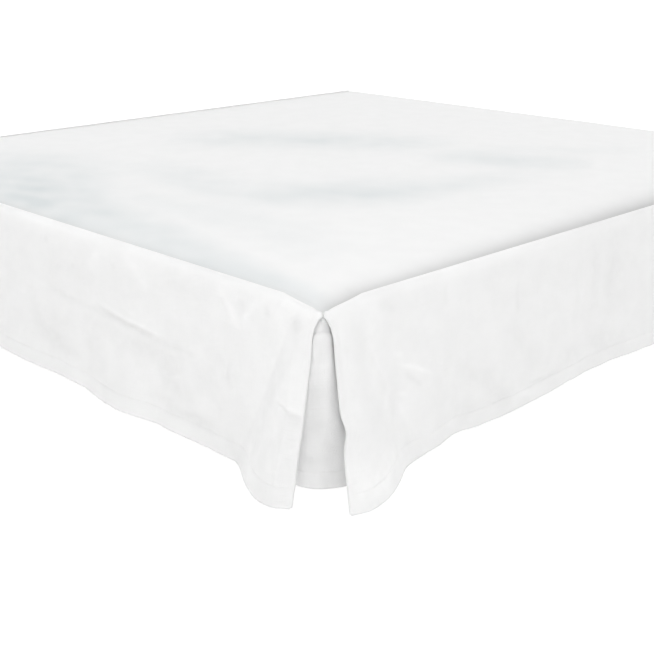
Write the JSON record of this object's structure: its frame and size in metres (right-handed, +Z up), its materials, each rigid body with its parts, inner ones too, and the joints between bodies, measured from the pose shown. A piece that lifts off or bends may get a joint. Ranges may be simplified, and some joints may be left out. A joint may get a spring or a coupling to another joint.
{
  "type": "bed skirt on bed base",
  "caption": "Tailored bed skirt with split corners and underlays behind them, hanging from a platform cloth that lies on a plain bed base on legs.",
  "frame": {"origin": "on the floor under the middle of the whole outline", "axes": "+Z up, the foot end of the bed faces -Y and the open head end faces +Y, +X is the right-hand side seen from the foot"},
  "size_m": [2.1399, 2.1367, 0.3709],
  "materials": {
    "skirt_linen": "matte white linen",
    "platform_cotton": "matte, smooth, slightly cool white cotton",
    "base_cloth": "matte plain upholstery",
    "leg_wood": "satin turned wood"
  },
  "bodies": {
    "root": {"platform": "platform_cotton", "panel_foot": "skirt_linen", "panel_right": "skirt_linen", "panel_left": "skirt_linen", "underlay_right": "skirt_linen", "underlay_left": "skirt_linen", "bed_base": "base_cloth", "leg_foot_left": "leg_wood", "leg_foot_middle": "leg_wood", "leg_foot_right": "leg_wood", "leg_head_left": "leg_wood", "leg_head_middle": "leg_wood", "leg_head_right": "leg_wood"}
  },
  "joints": []
}
